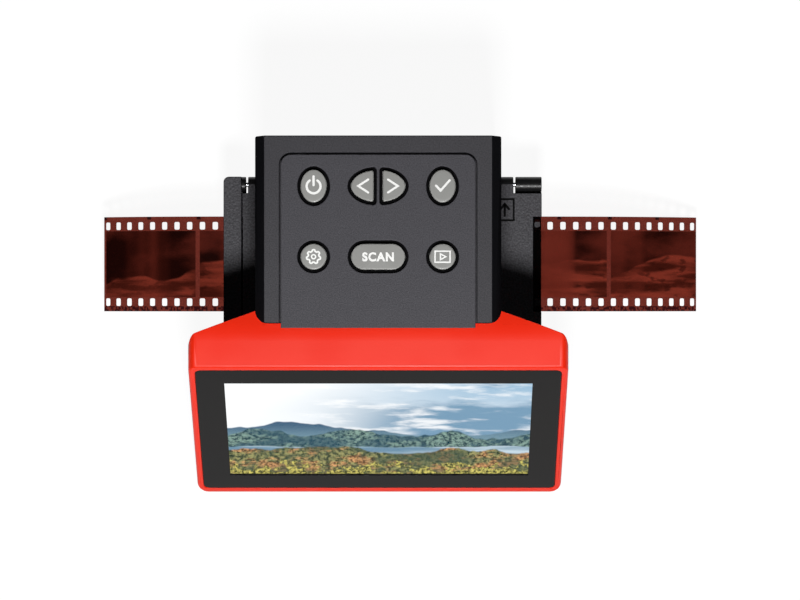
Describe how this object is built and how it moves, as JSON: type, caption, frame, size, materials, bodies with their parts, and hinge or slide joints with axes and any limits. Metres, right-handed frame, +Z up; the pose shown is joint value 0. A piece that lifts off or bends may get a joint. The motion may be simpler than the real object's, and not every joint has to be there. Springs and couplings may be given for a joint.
{
  "type": "film negative scanner",
  "caption": "Desktop film scanner with a tilted display, a top key plate and a hinged film holder that slides through its body with a negative strip.",
  "frame": {"origin": "on the optical axis of the camera, at the table plane below the middle of the film gate", "axes": "+X right as seen from the screen, +Y to the rear, +Z up"},
  "size_m": [0.2206, 0.1299, 0.0847],
  "materials": {
    "black_body": "black ABS, fine texture on the top, smoother sides",
    "plate_grey": "dark grey ABS with a fine spark texture",
    "red_shell": "vermilion ABS, satin",
    "key_grey": "mid grey plastic with white printed legends",
    "foot_rubber": "black rubber",
    "cover_glass": "black-bordered cover glass",
    "display_module": "lit LCD in a steel frame",
    "circuit_board": "green solder mask",
    "switch_steel": "tact switches",
    "screw_steel": "zinc-plated steel",
    "sheet_steel": "pressed steel sheet",
    "inner_black": "matt black moulding",
    "optical_glass": "coated optical glass",
    "brass_post": "turned brass",
    "sensor_chip": "chip under a glass window",
    "white_diffuser": "white polycarbonate",
    "led_white": "white LEDs",
    "socket_steel": "stamped steel shells",
    "ribbon_amber": "polyimide flat cable",
    "holder_black": "black ABS with a coarse texture",
    "pin_steel": "steel pin",
    "magnet_nickel": "nickel-plated magnets",
    "negative_film": "developed colour negative film"
  },
  "bodies": {
    "scanner": {"hood": "black_body", "lower_case": "black_body", "base_cover": "black_body", "rubber_feet": "foot_rubber", "front_shell": "red_shell", "display_back_cover": "black_body", "control_plate": "plate_grey", "key_board": "circuit_board", "key_switches": "switch_steel", "key_board_screws": "screw_steel", "screen_glass": "cover_glass", "lcd_panel": "display_module", "display_bracket": "sheet_steel", "main_board": "circuit_board", "display_cover_screws": "screw_steel", "display_mount_screws": "screw_steel", "guide_plate": "inner_black", "guide_plate_screws": "screw_steel", "light_shroud": "inner_black", "lens_barrel": "inner_black", "lens_glass": "optical_glass", "lens_mount": "inner_black", "camera_posts": "brass_post", "sensor_board": "circuit_board", "image_sensor": "sensor_chip", "diffuser": "white_diffuser", "light_box": "white_diffuser", "light_box_screws": "screw_steel", "backlight_board": "circuit_board", "backlight_leds": "led_white", "port_board": "circuit_board", "usb_port": "socket_steel", "video_port": "socket_steel", "card_slot": "socket_steel", "port_board_screws": "screw_steel", "sensor_ribbon": "ribbon_amber", "key_ribbon": "ribbon_amber", "housing_screws": "screw_steel"},
    "key_power": {"key_power": "key_grey"},
    "key_left": {"key_left": "key_grey"},
    "key_right": {"key_right": "key_grey"},
    "key_ok": {"key_ok": "key_grey"},
    "key_settings": {"key_settings": "key_grey"},
    "key_capture": {"key_capture": "key_grey"},
    "key_playback": {"key_playback": "key_grey"},
    "holder": {"holder_base": "holder_black", "hinge_pin": "pin_steel", "base_magnets": "magnet_nickel"},
    "lid": {"holder_lid": "holder_black", "lid_magnets": "magnet_nickel"},
    "film": {"film_strip": "negative_film"}
  },
  "joints": [
    {"name": "press_power", "type": "slide", "parent": "scanner", "child": "key_power", "axis": [0, 0, -1], "range_m": [0, 0.0006], "stiffness_N_per_m": 300, "springref_m": -0.001},
    {"name": "press_left", "type": "slide", "parent": "scanner", "child": "key_left", "axis": [0, 0, -1], "range_m": [0, 0.0006], "stiffness_N_per_m": 300, "springref_m": -0.001},
    {"name": "press_right", "type": "slide", "parent": "scanner", "child": "key_right", "axis": [0, 0, -1], "range_m": [0, 0.0006], "stiffness_N_per_m": 300, "springref_m": -0.001},
    {"name": "press_ok", "type": "slide", "parent": "scanner", "child": "key_ok", "axis": [0, 0, -1], "range_m": [0, 0.0006], "stiffness_N_per_m": 300, "springref_m": -0.001},
    {"name": "press_settings", "type": "slide", "parent": "scanner", "child": "key_settings", "axis": [0, 0, -1], "range_m": [0, 0.0006], "stiffness_N_per_m": 300, "springref_m": -0.001},
    {"name": "press_capture", "type": "slide", "parent": "scanner", "child": "key_capture", "axis": [0, 0, -1], "range_m": [0, 0.0006], "stiffness_N_per_m": 300, "springref_m": -0.001},
    {"name": "press_playback", "type": "slide", "parent": "scanner", "child": "key_playback", "axis": [0, 0, -1], "range_m": [0, 0.0006], "stiffness_N_per_m": 300, "springref_m": -0.001},
    {"name": "holder_slide", "type": "slide", "parent": "scanner", "child": "holder", "axis": [1, 0, 0], "range_m": [-0.021, 0.021]},
    {"name": "lid_hinge", "type": "hinge", "parent": "holder", "child": "lid", "pos_m": [0, 0.02925, 0.02655], "axis": [-1, 0, 0], "range_deg": [0, 1]},
    {"name": "film_slide", "type": "slide", "parent": "holder", "child": "film", "axis": [1, 0, 0], "range_m": [-0.019, 0.019]}
  ]
}
